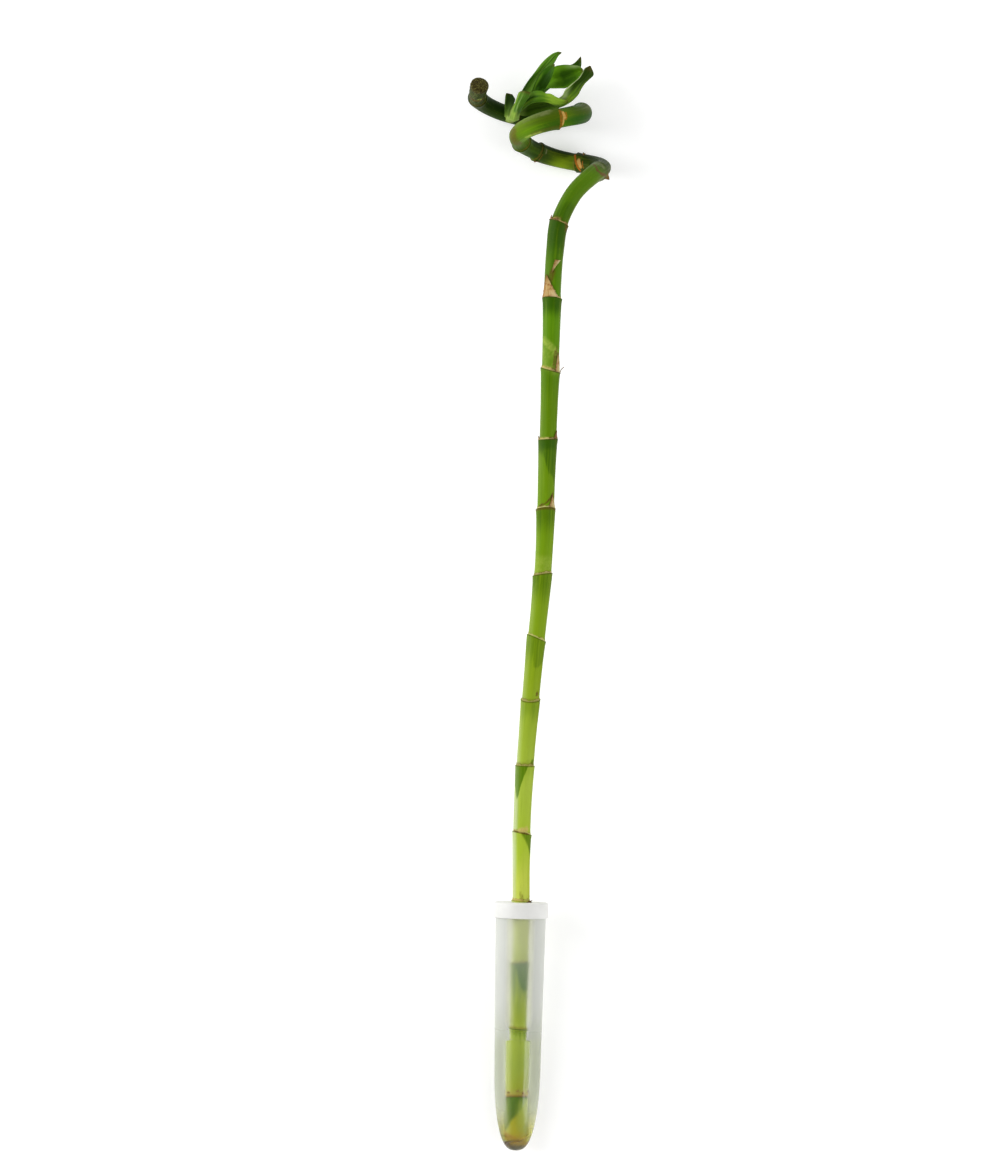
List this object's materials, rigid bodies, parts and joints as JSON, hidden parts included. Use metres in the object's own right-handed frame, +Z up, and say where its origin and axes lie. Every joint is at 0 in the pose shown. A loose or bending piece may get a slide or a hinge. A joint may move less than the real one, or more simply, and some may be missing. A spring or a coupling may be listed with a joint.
{
  "type": "lucky bamboo",
  "caption": "Cut lucky bamboo cane with a spiral top and a small leafy shoot, its foot in a frosted water tube with a push-on cap, lying on its side.",
  "frame": {"origin": "centre of the bounding box at the level of the surface that the plant lies on", "axes": "+Y along the cane from the tube's tip towards the spiral, +Z up from the surface, +X to the right seen from above"},
  "size_m": [0.0794, 0.607, 0.062],
  "materials": {
    "tube": "frosted translucent polypropylene",
    "cap": "smooth white, satin",
    "gel": "clear set water gel, wet",
    "cane": "smooth waxy green stem, satin",
    "shoot": "pale green stem, satin",
    "leaf": "glossy green leaf"
  },
  "bodies": {
    "root": {"tube": "tube", "cap": "cap", "gel": "gel", "cane": "cane", "shoot": "shoot", "leaf_long": "leaf", "leaf_inner": "leaf", "leaf_broad": "leaf", "leaf_back": "leaf", "leaf_front": "leaf", "leaf_sheath": "leaf", "leaf_bud": "leaf", "leaf_side": "leaf"}
  },
  "joints": []
}
